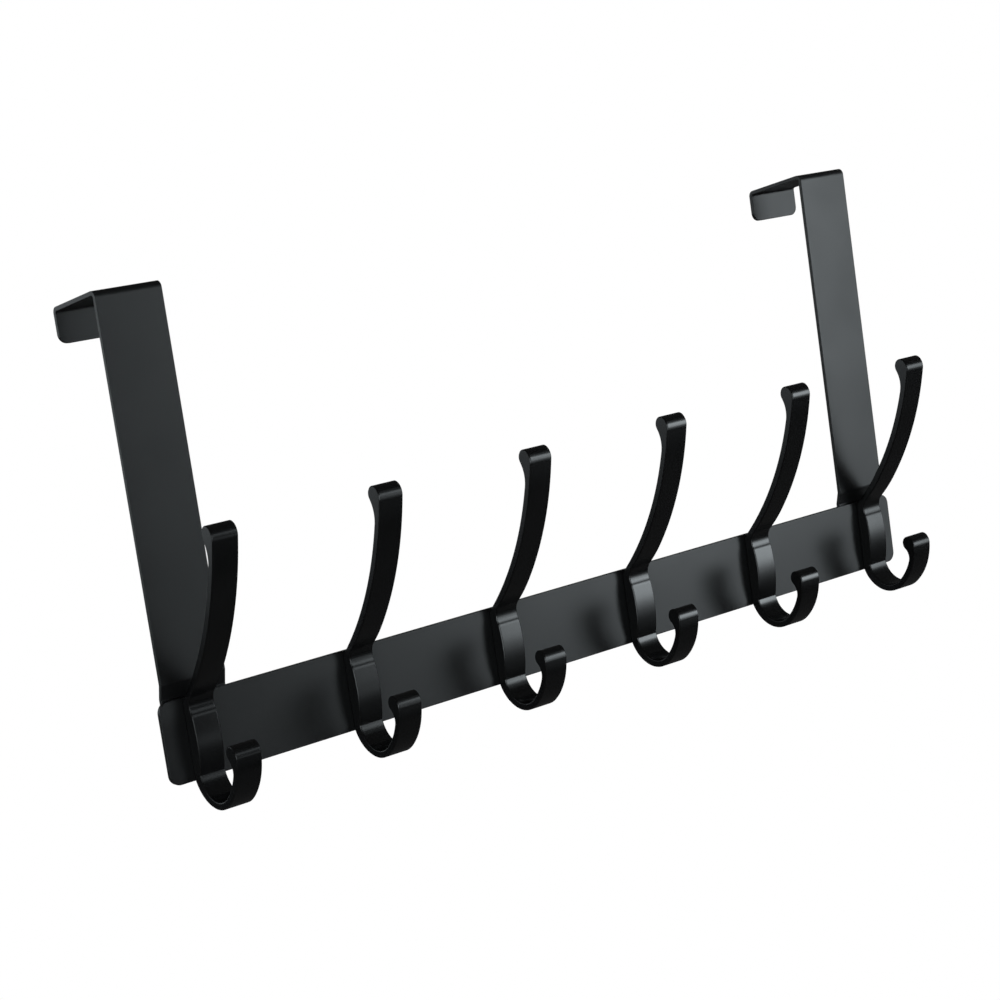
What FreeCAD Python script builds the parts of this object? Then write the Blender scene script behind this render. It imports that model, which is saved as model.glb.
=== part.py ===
import FreeCAD, Part
import math
import os

# Over-door hook rack: six double hooks on a flat rail, hung from the top of a door by two bent straps.
# Millimetres. X runs along the rail, +Y points into the door and +Z is up.
# The origin is at the top front edge of the door, midway between the straps: the door leaf fills Y from 0
# to its own thickness, and lies below Z = 0.

# Door that the straps are folded for
DOOR_THICKNESS = 35.0

# Flat rail
RAIL_LENGTH = 470.0
RAIL_HEIGHT = 38.0
RAIL_THICKNESS = 2.0
RAIL_CORNER_RADIUS = 5.0
RAIL_DROP = 175.0

# Door straps, folded from flat strip; the top falls a little towards the back of the door
STRAP_WIDTH = 33.0
STRAP_END_GAP = 3.0
STRAP_THICKNESS = 2.0
STRAP_BEND_RADIUS = 1.2
STRAP_TOP_FALL_DEG = 8.5
LIP_LENGTH = 16.5
LIP_CORNER_RADIUS = 4.5
JOGGLE_CLEARANCE = 0.8
JOGGLE_LENGTH = 6.5
TAB_MARGIN = 2.0
TAB_CORNER_RADIUS = 3.0

# Hooks, slices of one extruded section
HOOK_COUNT = 6
HOOK_WIDTH = 13.0
HOOK_END_MARGIN = 18.5
HOOK_EDGE_BREAK = 0.4

# Both tips are round behind and fuller in front; this is where the two radii of a tip meet
TIP_JOINT_DEG = 45.0

# Hook body, flat behind and bowed in front. A sloping shoulder joins it to the prong: it runs from a notch
# at the prong's root down the body's front, with these shares of it taken up by the rounding at each end
BODY_DEPTH = 7.4
BODY_FRONT_RADIUS = 58.0
SHOULDER_NOTCH = 1.1
SHOULDER_LENGTH = 7.0
SHOULDER_HOLLOW_SHARE = 0.88
SHOULDER_EDGE_SHARE = 0.1

# Upper prong; its rises are counted from the rail's top edge
PRONG_RISE = 79.0
PRONG_REACH = 49.7
PRONG_RADIUS = 155.0
PRONG_THICKNESS = 3.75
PRONG_TIP_LEAN_DEG = 14.7
PRONG_CROWN_RADIUS = 5.8
PRONG_TIP_RADIUS = 4.2
PRONG_NECK_RADIUS = 14.0
PRONG_HIP_RISE = 12.0
PRONG_ROOT_RADIUS = 87.0
PRONG_HEEL_RADIUS = 1.0

# Lower curl; its outside starts at the rail's bottom edge, so many degrees below its own centre, and its
# inside on the body's front, a little higher
CURL_RADIUS = 17.4
CURL_START_DEG = 19.8
CURL_THICKNESS = 3.3
CURL_ROOT_RISE = 2.6
CURL_RISE_RADIUS = 31.4
CURL_RISE_START_DEG = 53.0
CURL_TIP_LEAN_DEG = 5.4
CURL_CROWN_RADIUS = 5.5
CURL_TIP_RADIUS = 3.9
CURL_NECK_RADIUS = 6.0

# Countersunk screws, driven into each hook from behind
SCREW_RADIUS = 1.5
SCREW_HEAD_RADIUS = 2.75
SCREW_SPACING = 14.0
SCREW_FRONT_WALL = 1.6
SCREW_END_ROOM = 0.3
SCREW_HOLE_CLEARANCE = 0.2
CROSS_SLOT_WIDTH = 0.9
CROSS_SLOT_SPAN = 3.0
CROSS_SLOT_DEPTH = 1.0

# How closely an edge must follow a direction or a point, and a face look sideways, to be picked out
DIRECTION_TOLERANCE = 1e-6
PLACE_TOLERANCE = 1e-4
SIDEWAYS_SHARE = 0.99

# Places that follow from the sizes
DOOR_FACE_Y = 0.0
RAIL_BACK_Y = DOOR_FACE_Y - STRAP_THICKNESS
RAIL_FRONT_Y = RAIL_BACK_Y - RAIL_THICKNESS
RAIL_TOP_Z = -RAIL_DROP
RAIL_BOTTOM_Z = RAIL_TOP_Z - RAIL_HEIGHT
HOOK_PITCH = (RAIL_LENGTH - 2 * HOOK_END_MARGIN) / (HOOK_COUNT - 1)
HOOK_PLACES = [HOOK_PITCH * (i - (HOOK_COUNT - 1) / 2) for i in range(HOOK_COUNT)]
STRAP_PLACE = RAIL_LENGTH / 2 - STRAP_END_GAP - STRAP_WIDTH / 2
SCREW_HEIGHTS = [RAIL_HEIGHT / 2 - SCREW_SPACING / 2, RAIL_HEIGHT / 2 + SCREW_SPACING / 2]
SCREW_HOLE_DEPTH = BODY_DEPTH - SCREW_FRONT_WALL
FORWARD = FreeCAD.Vector(0, -1, 0)
ALONG_RAIL = FreeCAD.Vector(1, 0, 0)


def angle_point(centre, radius, angle_deg):
    """Point of a circle at an angle from the forward axis, positive upward."""
    turn = math.radians(angle_deg)
    return (centre[0] + radius * math.cos(turn), centre[1] + radius * math.sin(turn))


def angle_to(centre, point):
    """Angle in degrees at which a point is seen from a circle's centre."""
    return math.degrees(math.atan2(point[1] - centre[1], point[0] - centre[0]))


def lower_meeting(centre_a, radius_a, centre_b, radius_b):
    """Of the two points that two circles share, the one to the right of the line from a to b."""
    across = centre_b[0] - centre_a[0]
    up = centre_b[1] - centre_a[1]
    distance = math.hypot(across, up)
    along = (radius_a ** 2 - radius_b ** 2 + distance ** 2) / (2 * distance)
    off = math.sqrt(radius_a ** 2 - along ** 2)
    return (centre_a[0] + (along * across + off * up) / distance,
            centre_a[1] + (along * up - off * across) / distance)


def along_arc(centre, point, distance):
    """Point at a distance along a circle from one of its points, upward at the front when positive."""
    radius = math.dist(centre, point)
    return angle_point(centre, radius, angle_to(centre, point) + math.degrees(distance / radius))


def rounding(first_deg, second_deg, setback):
    """Radius that rounds the corner between two directions, starting at a distance from it."""
    turn = math.radians(abs(second_deg - first_deg))
    return setback / math.tan(turn / 2)


def tangent_centre(point, inward_deg, through):
    """Centre of the circle that has its centre in a direction from one point and runs through another."""
    inward = angle_point((0, 0), 1.0, inward_deg)
    chord = (through[0] - point[0], through[1] - point[1])
    radius = (chord[0] ** 2 + chord[1] ** 2) / (2 * (chord[0] * inward[0] + chord[1] * inward[1]))
    return angle_point(point, radius, inward_deg)


def front_of(centre, radius, height):
    """Front point of a circle at a height above the rail's lower edge."""
    return (centre[0] + math.sqrt(radius ** 2 - (height - centre[1]) ** 2), height)


def tip_back(crown, crown_radius, back_radius):
    """Centre of a tip's smaller back circle, and the point where it meets the larger front one."""
    centre = angle_point(crown, crown_radius - back_radius, TIP_JOINT_DEG)
    return centre, angle_point(crown, crown_radius, TIP_JOINT_DEG)


def in_hook_plane(point):
    """Space point of a (forward, height) pair, counted from the rail's front face and its lower edge."""
    return FreeCAD.Vector(0, RAIL_FRONT_Y - point[0], RAIL_BOTTOM_Z + point[1])


def hook_line(start, end):
    """Straight edge of the hook's section."""
    return Part.LineSegment(in_hook_plane(start), in_hook_plane(end)).toShape()


def hook_arc(centre, start, end, turn):
    """Arc edge about a centre, turning upward at the front (+1) or downward at the front (-1)."""
    radius = math.dist(centre, start)
    first = angle_to(centre, start)
    sweep = (turn * (angle_to(centre, end) - first)) % 360.0
    middle = angle_point(centre, radius, first + turn * sweep / 2)
    return Part.Arc(in_hook_plane(start), in_hook_plane(middle), in_hook_plane(end)).toShape()


def hook_section():
    """Closed outline of the hook and the corner points that are rounded, each with its radius."""
    body_centre = (BODY_DEPTH - BODY_FRONT_RADIUS, RAIL_HEIGHT / 2)

    # Upper prong: two concentric arcs, with a tip that lies inside the front one
    crown_rise = (PRONG_CROWN_RADIUS - PRONG_TIP_RADIUS) * math.sin(math.radians(TIP_JOINT_DEG))
    crown = (PRONG_REACH - PRONG_CROWN_RADIUS, RAIL_HEIGHT + PRONG_RISE - PRONG_TIP_RADIUS - crown_rise)
    tip, tip_joint = tip_back(crown, PRONG_CROWN_RADIUS, PRONG_TIP_RADIUS)
    prong_centre = angle_point(crown, PRONG_RADIUS - PRONG_CROWN_RADIUS, 180.0 - PRONG_TIP_LEAN_DEG)
    back_radius = PRONG_RADIUS - PRONG_THICKNESS
    heel = (0, prong_centre[1] - math.sqrt(back_radius ** 2 - prong_centre[0] ** 2))
    tip_front = angle_point(prong_centre, PRONG_RADIUS, -PRONG_TIP_LEAN_DEG)
    neck = lower_meeting(prong_centre, back_radius, tip, PRONG_TIP_RADIUS)

    # Prong's root: a tighter arc that leaves the front of the prong at the hip and ends above the shoulder
    hip_up = RAIL_HEIGHT + PRONG_HIP_RISE - prong_centre[1]
    hip_angle = math.degrees(math.asin(hip_up / PRONG_RADIUS))
    hip = angle_point(prong_centre, PRONG_RADIUS, hip_angle)
    root_centre = angle_point(hip, PRONG_ROOT_RADIUS, hip_angle + 180.0)

    # Shoulder: a straight slope from a little below the meeting of prong and body to the body's front
    meeting = lower_meeting(body_centre, BODY_FRONT_RADIUS, root_centre, PRONG_ROOT_RADIUS)
    root = along_arc(root_centre, meeting, -SHOULDER_NOTCH)
    shoulder = along_arc(body_centre, meeting, -SHOULDER_LENGTH)
    slope = math.dist(root, shoulder)
    slope_deg = angle_to(root, shoulder)
    hollow_radius = rounding(angle_to(root_centre, root) - 90.0, slope_deg, SHOULDER_HOLLOW_SHARE * slope)
    edge_radius = rounding(slope_deg, angle_to(body_centre, shoulder) - 90.0, SHOULDER_EDGE_SHARE * slope)

    # Lower curl: a round bottom that opens into a flatter rise, with a tip inside its front.
    # The inside of the bottom has a centre of its own, so that the curl thickens towards the body.
    curl_centre = angle_point((0, 0), CURL_RADIUS, CURL_START_DEG)
    rise_centre = angle_point(curl_centre, CURL_RISE_RADIUS - CURL_RADIUS, 180.0 - CURL_RISE_START_DEG)
    rise_inner = CURL_RISE_RADIUS - CURL_THICKNESS
    curl_crown = angle_point(rise_centre, CURL_RISE_RADIUS - CURL_CROWN_RADIUS, -CURL_TIP_LEAN_DEG)
    curl_tip, curl_joint = tip_back(curl_crown, CURL_CROWN_RADIUS, CURL_TIP_RADIUS)
    curl_front = angle_point(rise_centre, CURL_RISE_RADIUS, -CURL_TIP_LEAN_DEG)
    curl_neck = lower_meeting(rise_centre, rise_inner, curl_tip, CURL_TIP_RADIUS)
    rise_outer_start = angle_point(curl_centre, CURL_RADIUS, -CURL_RISE_START_DEG)
    rise_inner_start = angle_point(rise_centre, rise_inner, -CURL_RISE_START_DEG)
    crease = front_of(body_centre, BODY_FRONT_RADIUS, CURL_ROOT_RISE)
    bottom_centre = tangent_centre(rise_inner_start, 180.0 - CURL_RISE_START_DEG, crease)

    edges = [
        hook_line((0, 0), heel),
        hook_arc(prong_centre, heel, neck, 1),
        hook_arc(tip, neck, tip_joint, -1),
        hook_arc(crown, tip_joint, tip_front, -1),
        hook_arc(prong_centre, tip_front, hip, -1),
        hook_arc(root_centre, hip, root, -1),
        hook_line(root, shoulder),
        hook_arc(body_centre, shoulder, crease, -1),
        hook_arc(bottom_centre, crease, rise_inner_start, 1),
        hook_arc(rise_centre, rise_inner_start, curl_neck, 1),
        hook_arc(curl_tip, curl_neck, curl_joint, -1),
        hook_arc(curl_crown, curl_joint, curl_front, -1),
        hook_arc(rise_centre, curl_front, rise_outer_start, -1),
        hook_arc(curl_centre, rise_outer_start, (0, 0), -1),
    ]
    rounded = [(heel, PRONG_HEEL_RADIUS), (neck, PRONG_NECK_RADIUS), (root, hollow_radius),
               (shoulder, edge_radius), (curl_neck, CURL_NECK_RADIUS)]
    return Part.Wire(edges), rounded


def edges_through(solid, point, direction):
    """Straight edges of a solid that run along a direction and pass through a point."""
    found = []
    for edge in solid.Edges:
        if not isinstance(edge.Curve, Part.Line):
            continue
        if edge.Curve.Direction.cross(direction).Length > DIRECTION_TOLERANCE:
            continue
        if edge.distToShape(Part.Vertex(point))[0] < PLACE_TOLERANCE:
            found.append(edge)
    return found


def hook(x):
    """One hook, cut from the extruded section, with broken edges and two blind screw holes behind."""
    outline, rounded = hook_section()
    near = FreeCAD.Vector(x - HOOK_WIDTH / 2, 0, 0)
    solid = Part.Face(outline).extrude(ALONG_RAIL * HOOK_WIDTH)
    solid.translate(near)
    for corner, radius in rounded:
        solid = solid.makeFillet(radius, edges_through(solid, in_hook_plane(corner) + near, ALONG_RAIL))
    sides = [face for face in solid.Faces if abs(face.normalAt(0, 0).x) > SIDEWAYS_SHARE]
    rims = [edge for side in sides for edge in side.OuterWire.Edges]
    solid = solid.makeChamfer(HOOK_EDGE_BREAK, rims)
    for height in SCREW_HEIGHTS:
        mouth = FreeCAD.Vector(x, RAIL_FRONT_Y, RAIL_BOTTOM_Z + height)
        solid = solid.cut(Part.makeCylinder(SCREW_RADIUS, SCREW_HOLE_DEPTH, mouth, FORWARD))
    return solid.Solids[0]


def offset_path(points, distance):
    """A path of (y, z) corners moved sideways, to the right of its direction of travel."""
    normals = []
    for start, end in zip(points, points[1:]):
        length = math.dist(start, end)
        normals.append(((end[1] - start[1]) / length, (start[0] - end[0]) / length))
    moved = []
    for point, before, after in zip(points, normals[:1] + normals, normals + normals[-1:]):
        share = 1 + before[0] * after[0] + before[1] * after[1]
        moved.append((point[0] + distance * (before[0] + after[0]) / share,
                      point[1] + distance * (before[1] + after[1]) / share))
    return moved


def strap_blank(x):
    """Folded strip: a tab behind the rail, a joggle out to its front, a leg, the top plate and a lip."""
    outer_back_y = DOOR_FACE_Y + DOOR_THICKNESS + STRAP_THICKNESS
    fall = math.radians(STRAP_TOP_FALL_DEG)
    inner_back_y = outer_back_y - STRAP_THICKNESS
    top_z = STRAP_THICKNESS / math.cos(fall) + (inner_back_y - RAIL_FRONT_Y) * math.tan(fall)
    back_z = top_z - (outer_back_y - RAIL_FRONT_Y) * math.tan(fall)
    joggle_z = RAIL_TOP_Z + JOGGLE_CLEARANCE
    outer = [
        (RAIL_BACK_Y, RAIL_BOTTOM_Z + TAB_MARGIN),
        (RAIL_BACK_Y, joggle_z),
        (RAIL_FRONT_Y, joggle_z + JOGGLE_LENGTH),
        (RAIL_FRONT_Y, top_z),
        (outer_back_y, back_z),
        (outer_back_y, back_z - LIP_LENGTH),
    ]
    inner = offset_path(outer, STRAP_THICKNESS)
    near_x = x - STRAP_WIDTH / 2
    loop = [FreeCAD.Vector(near_x, y, z) for y, z in outer + inner[::-1]]
    blank = Part.Face(Part.makePolygon(loop + loop[:1])).extrude(ALONG_RAIL * STRAP_WIDTH)

    # Bends: the inside of each has the bend radius, and the outside has the strip's thickness on top of it.
    # The first bend turns the other way from the rest, so its inside is on the outer path.
    wide = STRAP_BEND_RADIUS + STRAP_THICKNESS
    tight = STRAP_BEND_RADIUS
    for corner, (outside, inside) in enumerate(zip(outer, inner)):
        if corner in (0, len(outer) - 1):
            continue
        radii = (tight, wide) if corner == 1 else (wide, tight)
        for (y, z), radius in zip((outside, inside), radii):
            blank = blank.makeFillet(radius, edges_through(blank, FreeCAD.Vector(near_x, y, z), ALONG_RAIL))

    # Rounded corners of the lip and of the tab
    for (y, z), radius in ((outer[-1], LIP_CORNER_RADIUS), (outer[0], TAB_CORNER_RADIUS)):
        for side in (near_x, near_x + STRAP_WIDTH):
            blank = blank.makeFillet(radius, edges_through(blank, FreeCAD.Vector(side, y, z), FORWARD))
    return blank


def screw_head(mouth):
    """Countersunk head that goes forward from its mouth: a 90 degree cone down to the shank."""
    return Part.makeCone(SCREW_HEAD_RADIUS, SCREW_RADIUS, SCREW_HEAD_RADIUS - SCREW_RADIUS, mouth, FORWARD)


def screw_passage(mouth):
    """Clearance hole from a head's seat to the rail's front, with the countersink that the head lies in."""
    radius = SCREW_RADIUS + SCREW_HOLE_CLEARANCE
    return screw_head(mouth).fuse(Part.makeCylinder(radius, mouth.y - RAIL_FRONT_Y, mouth, FORWARD))


def screw(mouth):
    """Countersunk screw with a cross slot, from its head's flat face into the hook."""
    reach = mouth.y - RAIL_FRONT_Y + SCREW_HOLE_DEPTH - SCREW_END_ROOM
    solid = screw_head(mouth).fuse(Part.makeCylinder(SCREW_RADIUS, reach, mouth, FORWARD))
    for across, tall in ((CROSS_SLOT_SPAN, CROSS_SLOT_WIDTH), (CROSS_SLOT_WIDTH, CROSS_SLOT_SPAN)):
        corner = mouth + FreeCAD.Vector(-across / 2, -CROSS_SLOT_DEPTH, -tall / 2)
        solid = solid.cut(Part.makeBox(across, CROSS_SLOT_DEPTH, tall, corner))
    return solid.removeSplitter().Solids[0]


def behind_strap(x):
    """True where a hook stands in front of a strap's tab, so that its screws go through both."""
    return abs(abs(x) - STRAP_PLACE) < STRAP_WIDTH / 2


def screw_mouths(x):
    """Centres of a hook's two screw heads, on the tab's back or else on the rail's back."""
    y = DOOR_FACE_Y if behind_strap(x) else RAIL_BACK_Y
    return [FreeCAD.Vector(x, y, RAIL_BOTTOM_Z + height) for height in SCREW_HEIGHTS]


def drilled(blank, hook_places):
    """A blank with the passages for the screws of the hooks at the given places."""
    for x in hook_places:
        for mouth in screw_mouths(x):
            blank = blank.cut(screw_passage(mouth))
    return blank.Solids[0]


def rail():
    """Flat rail with rounded corners, drilled behind every hook."""
    corner = FreeCAD.Vector(-RAIL_LENGTH / 2, RAIL_FRONT_Y, RAIL_BOTTOM_Z)
    blank = Part.makeBox(RAIL_LENGTH, RAIL_THICKNESS, RAIL_HEIGHT, corner)
    edges = [edge for edge in blank.Edges
             if edge.Curve.Direction.cross(FORWARD).Length < DIRECTION_TOLERANCE]
    return drilled(blank.makeFillet(RAIL_CORNER_RADIUS, edges), HOOK_PLACES)


def strap(x):
    """Door strap, drilled for the hook that shares its tab."""
    return drilled(strap_blank(x), [place for place in HOOK_PLACES if abs(place - x) < STRAP_WIDTH / 2])


def screws(hook_places):
    """The screws of the hooks at the given places, each a solid of its own."""
    return Part.makeCompound([screw(mouth) for x in hook_places for mouth in screw_mouths(x)])


def build():
    """Every piece of the rack by node name."""
    pieces = {
        "rail": rail(),
        "left_door_strap": strap(-STRAP_PLACE),
        "right_door_strap": strap(STRAP_PLACE),
        "end_hook_screws": screws([x for x in HOOK_PLACES if behind_strap(x)]),
        "hook_screws": screws([x for x in HOOK_PLACES if not behind_strap(x)]),
    }
    for number, x in enumerate(HOOK_PLACES, start=1):
        pieces["hook_%d" % number] = hook(x)
    return pieces


os.makedirs("parts", exist_ok=True)
for name, shape in build().items():
    shape.exportStep(os.path.join("parts", name + ".step"))
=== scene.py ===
import math

import bpy
from mathutils import Matrix, Vector

# Lengths are metres and angles degrees, in the part's own frame:
# the door's top edge is the origin, the hooks face -Y and +Z is up.

# Camera
CAMERA_PLACE = Vector((-0.698, -0.890, 0.0307))
CAMERA_TURN = 36.88
CAMERA_TILT = 7.97
CAMERA_ROLL = 8.37
CAMERA_LENS = 82.6
SENSOR_WIDTH = 36

# Coats: base shades and roughness as (low, high), pattern scales in spots per metre
RAIL_SHADE = (0.0105, 0.0135)
HOOK_SHADE = (0.0060, 0.0080)
RAIL_ROUGHNESS = (0.31, 0.35)
STRAP_ROUGHNESS = (0.34, 0.40)
HOOK_ROUGHNESS = (0.18, 0.23)
COAT_IOR = 1.5
COAT_BLUE = 1.03
EDGE_ROUNDING = 0.0005
EDGE_SAMPLES = 6
CLOUD_SCALE = 38
PEEL_SCALE = 620
PEEL_STRENGTH = 0.12
PEEL_HEIGHT = 0.00004
GRAIN_SCALE = 2600
GRAIN_STRENGTH = 0.25
GRAIN_HEIGHT = 0.00001

# Zinc plating
ZINC_DARK = (0.42, 0.43, 0.46)
ZINC_LIGHT = (0.60, 0.61, 0.63)
ZINC_ROUGHNESS = (0.28, 0.42)
MOTTLE_SCALE = 900
PLATE_GRAIN_SCALE = 5000
PLATE_GRAIN_STRENGTH = 0.3

# Range of a noise texture's values that a pattern uses
NOISE_RANGE = (0.3, 0.7)

# Lights: strengths, the upright planes of the softboxes (places on Y), and each softbox's
# (left, right, low, high) there
FRONT_LIGHT = 8.8
FRONT_GLOW = 0.5
FRONT_CREST = 0.75
BACK_LIGHT = 1.3
SIDE_LIGHT = 4.5
FRONT_PLANE = -1.2
BACK_PLANE = 1.4
FRONT_SHEET = (0.1, 1.9, -1.5, 1.1)
BACK_SHEET = (-2.4, -0.3, -1.0, 0.7)
SIDE_SHEET = (-2.4, -0.8, -1.0, 0.5)
ROOM_LIGHT = 0.045
LIGHT_TINT = (0.905, 0.99, 1.03, 1)

# White surroundings: a ring of walls with a ceiling, and a floor under the rack
SURROUND_LIGHT = 1.0
WALL_RADIUS = 6
WALL_STEP = 15
WALL_HEIGHT = 8
FLOOR_HEIGHT = -0.6


def new_material(name):
    """An empty node material: its node list, its links and its output node."""
    material = bpy.data.materials.new(name)
    material.use_nodes = True
    tree = material.node_tree
    tree.nodes.clear()
    return material, tree, tree.nodes.new("ShaderNodeOutputMaterial")


def part_coordinates(tree):
    """The place on the part, in metres."""
    return tree.nodes.new("ShaderNodeTexCoord").outputs["Object"]


def noise(tree, place, scale, detail):
    """Soft random values at a given number of spots per metre."""
    texture = tree.nodes.new("ShaderNodeTexNoise")
    texture.inputs["Scale"].default_value = scale
    texture.inputs["Detail"].default_value = detail
    tree.links.new(place, texture.inputs["Vector"])
    return texture.outputs["Fac"]


def spread(tree, value, low, high, start=NOISE_RANGE[0], end=NOISE_RANGE[1]):
    """A value between start and end turned into one between low and high."""
    node = tree.nodes.new("ShaderNodeMapRange")
    node.inputs["From Min"].default_value = start
    node.inputs["From Max"].default_value = end
    node.inputs["To Min"].default_value = low
    node.inputs["To Max"].default_value = high
    tree.links.new(value, node.inputs["Value"])
    return node.outputs["Result"]


def shades(tree, value, dark, light):
    """A noise value turned into a colour between two colours."""
    ramp = tree.nodes.new("ShaderNodeValToRGB")
    for mark, position, colour in zip(ramp.color_ramp.elements, NOISE_RANGE, (dark, light)):
        mark.position = position
        mark.color = (*colour, 1)
    tree.links.new(value, ramp.inputs["Fac"])
    return ramp.outputs["Color"]


def bump(tree, height, strength, distance, under=None):
    """Relief of a height pattern, laid over an earlier relief where one is given."""
    node = tree.nodes.new("ShaderNodeBump")
    node.inputs["Strength"].default_value = strength
    node.inputs["Distance"].default_value = distance
    tree.links.new(height, node.inputs["Height"])
    if under is not None:
        tree.links.new(under, node.inputs["Normal"])
    return node.outputs["Normal"]


def powder_coat(name, shade, roughness):
    """Satin black powder coat: clouded sheen, shallow orange peel and a fine grain."""
    material, tree, output = new_material(name)
    place = part_coordinates(tree)
    clouds = noise(tree, place, CLOUD_SCALE, 4)
    peel = noise(tree, place, PEEL_SCALE, 2)
    grain = noise(tree, place, GRAIN_SCALE, 3)
    shader = tree.nodes.new("ShaderNodeBsdfPrincipled")
    shader.inputs["Metallic"].default_value = 0
    shader.inputs["IOR"].default_value = COAT_IOR
    dark, light = ((grey, grey, grey * COAT_BLUE) for grey in shade)
    tint = shades(tree, clouds, dark, light)
    tree.links.new(tint, shader.inputs["Base Color"])
    tree.links.new(spread(tree, clouds, *roughness), shader.inputs["Roughness"])
    edges = tree.nodes.new("ShaderNodeBevel")
    edges.samples = EDGE_SAMPLES
    edges.inputs["Radius"].default_value = EDGE_ROUNDING
    waves = bump(tree, peel, PEEL_STRENGTH, PEEL_HEIGHT, edges.outputs["Normal"])
    relief = bump(tree, grain, GRAIN_STRENGTH, GRAIN_HEIGHT, waves)
    tree.links.new(relief, shader.inputs["Normal"])
    tree.links.new(shader.outputs["BSDF"], output.inputs["Surface"])
    return material


def zinc_plate(name):
    """Dull zinc plating: a pale metal with fine mottling."""
    material, tree, output = new_material(name)
    place = part_coordinates(tree)
    mottle = noise(tree, place, MOTTLE_SCALE, 4)
    grain = noise(tree, place, PLATE_GRAIN_SCALE, 2)
    shader = tree.nodes.new("ShaderNodeBsdfPrincipled")
    shader.inputs["Metallic"].default_value = 1
    tint = shades(tree, mottle, ZINC_DARK, ZINC_LIGHT)
    tree.links.new(tint, shader.inputs["Base Color"])
    tree.links.new(spread(tree, mottle, *ZINC_ROUGHNESS), shader.inputs["Roughness"])
    relief = bump(tree, grain, PLATE_GRAIN_STRENGTH, GRAIN_HEIGHT)
    tree.links.new(relief, shader.inputs["Normal"])
    tree.links.new(shader.outputs["BSDF"], output.inputs["Surface"])
    return material


def dress(node, material):
    """One material over a whole piece of the part."""
    for slot in node.material_slots:
        slot.material = material


def sheet(name, corners, material):
    """A flat sheet of the studio."""
    mesh = bpy.data.meshes.new(name)
    mesh.from_pydata(corners, [], [tuple(range(len(corners)))])
    thing = bpy.data.objects.new(name, mesh)
    thing.data.materials.append(material)
    bpy.context.scene.collection.objects.link(thing)
    return thing


def glow(name, strength):
    """An even white light, used for the backdrop and the floor."""
    material, tree, output = new_material(name)
    light = tree.nodes.new("ShaderNodeEmission")
    light.inputs["Strength"].default_value = strength
    tree.links.new(light.outputs["Emission"], output.inputs["Surface"])
    return material


def curve_along(tree, place, axis, stops):
    """A brightness that follows stops of (metres along the axis, brightness)."""
    split = tree.nodes.new("ShaderNodeSeparateXYZ")
    tree.links.new(place, split.inputs["Vector"])
    start = stops[0][0]
    end = stops[-1][0]
    level = spread(tree, split.outputs[axis], 0, 1, start, end)
    ramp = tree.nodes.new("ShaderNodeValToRGB")
    ramp.color_ramp.interpolation = "EASE"
    marks = ramp.color_ramp.elements
    for index, (spot, value) in enumerate(stops):
        position = (spot - start) / (end - start)
        mark = marks[index] if index < 2 else marks.new(position)
        mark.position = position
        mark.color = (value, value, value, 1)
    tree.links.new(level, ramp.inputs["Fac"])
    return ramp.outputs["Color"]


def joined(tree, operation, first, second):
    """Two values multiplied or added; either may be a plain number."""
    node = tree.nodes.new("ShaderNodeMath")
    node.operation = operation
    for socket, value in zip(node.inputs, (first, second)):
        if isinstance(value, (int, float)):
            socket.default_value = value
        else:
            tree.links.new(value, socket)
    return node.outputs["Value"]


def shaded_glow(name, patches):
    """A softbox's light: the sum of patches, each (strength, fade across, fade upward)."""
    material, tree, output = new_material(name)
    place = part_coordinates(tree)
    total = 0
    for strength, across, upward in patches:
        sideways = curve_along(tree, place, "X", across)
        fades = joined(tree, "MULTIPLY", sideways, curve_along(tree, place, "Z", upward))
        total = joined(tree, "ADD", joined(tree, "MULTIPLY", fades, strength), total)
    light = tree.nodes.new("ShaderNodeEmission")
    light.inputs["Color"].default_value = LIGHT_TINT
    tree.links.new(total, light.inputs["Strength"])
    tree.links.new(light.outputs["Emission"], output.inputs["Surface"])
    return material


def softbox(name, plane, size, patches):
    """An upright light sheet that the camera does not see."""
    left, right, low, high = size
    corners = [(left, plane, low), (right, plane, low), (right, plane, high), (left, plane, high)]
    sheet(name, corners, shaded_glow(name + "_light", patches)).visible_camera = False


def front_softbox():
    """The main light, in front and to the right: a bright box, a glow beside it and one over that."""
    box_across = (
        (0.1, 0), (0.43, 0), (0.62, 0.05), (0.82, 0.38), (1.03, 0.76), (1.23, 1), (1.38, 0.45),
        (1.5, 0.2), (1.9, 0.06),
    )
    box_upward = (
        (-1.5, 0), (-0.85, 0.02), (-0.6, 0.1), (-0.45, 0.32), (-0.28, 0.85), (0.1, 0.95), (0.25, 0.85),
        (0.4, 0.2), (0.6, 0.06), (0.95, 0.05), (1.1, 0),
    )
    glow_across = ((0.1, 0.6), (0.5, 1), (0.75, 0.9), (1.0, 0.4), (1.3, 0), (1.9, 0))
    glow_upward = ((-1.5, 0), (-0.72, 0.1), (-0.52, 1), (-0.36, 0.2), (-0.1, 0), (1.1, 0))
    crest_across = ((0.1, 0.6), (0.43, 0.8), (0.75, 1), (1.1, 1), (1.35, 0.6), (1.9, 0))
    crest_upward = ((-1.5, 0), (-0.1, 0), (0.12, 1), (0.3, 0.9), (0.45, 0), (1.1, 0))
    patches = (
        (FRONT_LIGHT, box_across, box_upward),
        (FRONT_GLOW, glow_across, glow_upward),
        (FRONT_CREST, crest_across, crest_upward),
    )
    softbox("front_softbox", FRONT_PLANE, FRONT_SHEET, patches)


def back_softbox():
    """The weaker light behind the rack and to its left."""
    across = (
        (-2.4, 0.2), (-1.5, 1), (-1.34, 1), (-1.25, 0.3), (-1.1, 0.35), (-1.0, 0.75), (-0.5, 0.7),
        (-0.3, 0),
    )
    upward = ((-1.0, 0.02), (-0.5, 0.03), (-0.4, 0.05), (-0.29, 1), (0.3, 1), (0.7, 0))
    softbox("back_softbox", BACK_PLANE, BACK_SHEET, ((BACK_LIGHT, across, upward),))


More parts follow.
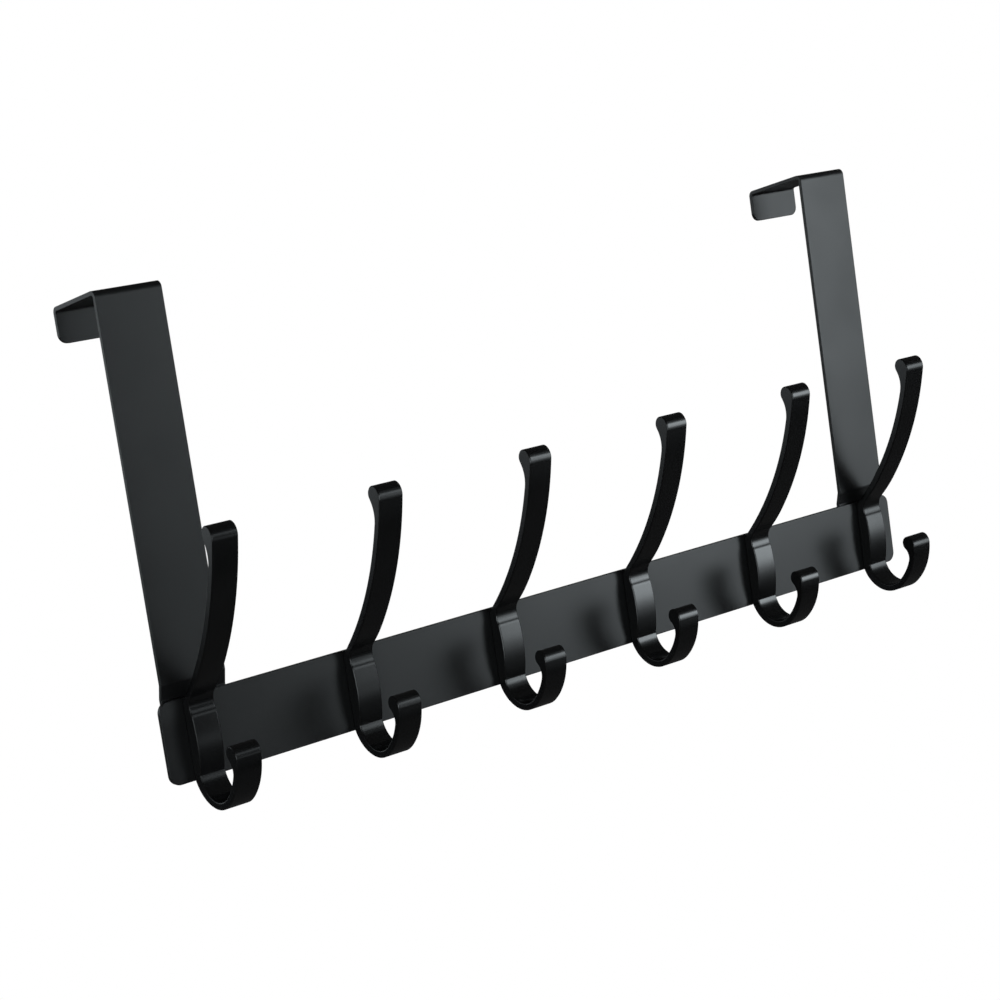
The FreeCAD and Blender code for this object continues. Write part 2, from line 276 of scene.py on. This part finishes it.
def side_softbox():
    """A light in front and to the left, that lightens the bodies' sides mirrored in the rail."""
    across = ((-2.4, 0.2), (-1.8, 1), (-1.4, 1), (-1.0, 0.2), (-0.8, 0))
    upward = ((-1.0, 0), (-0.5, 1), (0, 1), (0.5, 0))
    softbox("side_softbox", FRONT_PLANE, SIDE_SHEET, ((SIDE_LIGHT, across, upward),))


def backdrop():
    """White surroundings and floor, seen by the camera only."""
    material = glow("white_surroundings", SURROUND_LIGHT)
    mesh = bpy.data.meshes.new("surroundings")
    thing = bpy.data.objects.new("surroundings", mesh)
    turns = [math.radians(angle) for angle in range(0, 360, WALL_STEP)]
    ring = [(WALL_RADIUS * math.cos(turn), WALL_RADIUS * math.sin(turn)) for turn in turns]
    count = len(ring)
    points = [(x, y, FLOOR_HEIGHT) for x, y in ring] + [(x, y, WALL_HEIGHT) for x, y in ring]
    walls = [(i, (i + 1) % count, count + (i + 1) % count, count + i) for i in range(count)]
    mesh.from_pydata(points, [], walls + [tuple(range(count, 2 * count))])
    mesh.materials.append(material)
    bpy.context.scene.collection.objects.link(thing)
    hide_from_light(thing)
    floor = sheet("floor", points[:count], glow("pale_floor", SURROUND_LIGHT))
    hide_from_light(floor)


def hide_from_light(thing):
    """Keeps a backdrop piece out of reflections and off the lighting."""
    thing.visible_glossy = False
    thing.visible_diffuse = False
    thing.visible_transmission = False
    thing.visible_shadow = False


def room():
    """The faint even light of the room."""
    world = bpy.data.worlds.new("room")
    bpy.context.scene.world = world
    world.use_nodes = True
    background = world.node_tree.nodes["Background"]
    background.inputs["Color"].default_value = (1, 1, 1, 1)
    background.inputs["Strength"].default_value = ROOM_LIGHT


def camera():
    """The photograph's camera, rolled so that the rail climbs to the right."""
    turn = math.radians(CAMERA_TURN)
    tilt = math.radians(CAMERA_TILT)
    roll = math.radians(CAMERA_ROLL)
    ahead = math.cos(tilt)
    forward = Vector((math.sin(turn) * ahead, math.cos(turn) * ahead, -math.sin(tilt)))
    level = Vector((math.cos(turn), -math.sin(turn), 0))
    upright = level.cross(forward)
    right = math.cos(roll) * level - math.sin(roll) * upright
    up = math.sin(roll) * level + math.cos(roll) * upright
    data = bpy.data.cameras.new("photo_camera")
    data.sensor_fit = "HORIZONTAL"
    data.sensor_width = SENSOR_WIDTH
    data.lens = CAMERA_LENS
    thing = bpy.data.objects.new("photo_camera", data)
    axes = Matrix((right, up, -forward)).transposed().to_4x4()
    thing.matrix_world = Matrix.Translation(CAMERA_PLACE) @ axes
    bpy.context.scene.collection.objects.link(thing)
    bpy.context.scene.camera = thing


def materials(nodes):
    """Gives each piece the finish that its name calls for."""
    rail_coat = powder_coat("rail_coat_look", RAIL_SHADE, RAIL_ROUGHNESS)
    strap_coat = powder_coat("strap_coat_look", RAIL_SHADE, STRAP_ROUGHNESS)
    hook_coat = powder_coat("hook_coat_look", HOOK_SHADE, HOOK_ROUGHNESS)
    zinc = zinc_plate("screw_steel_look")
    for name, node in nodes.items():
        if "screws" in name:
            dress(node, zinc)
        elif name.startswith("hook"):
            dress(node, hook_coat)
        elif "strap" in name:
            dress(node, strap_coat)
        else:
            dress(node, rail_coat)


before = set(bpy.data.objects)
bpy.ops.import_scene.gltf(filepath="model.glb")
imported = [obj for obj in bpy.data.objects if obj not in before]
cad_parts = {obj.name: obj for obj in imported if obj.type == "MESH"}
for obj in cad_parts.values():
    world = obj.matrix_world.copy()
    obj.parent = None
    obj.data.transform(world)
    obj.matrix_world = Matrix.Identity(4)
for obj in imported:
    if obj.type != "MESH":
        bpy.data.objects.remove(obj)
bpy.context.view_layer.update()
materials(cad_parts)
room()
backdrop()
front_softbox()
back_softbox()
side_softbox()
camera()
bpy.context.scene.view_settings.view_transform = "Standard"
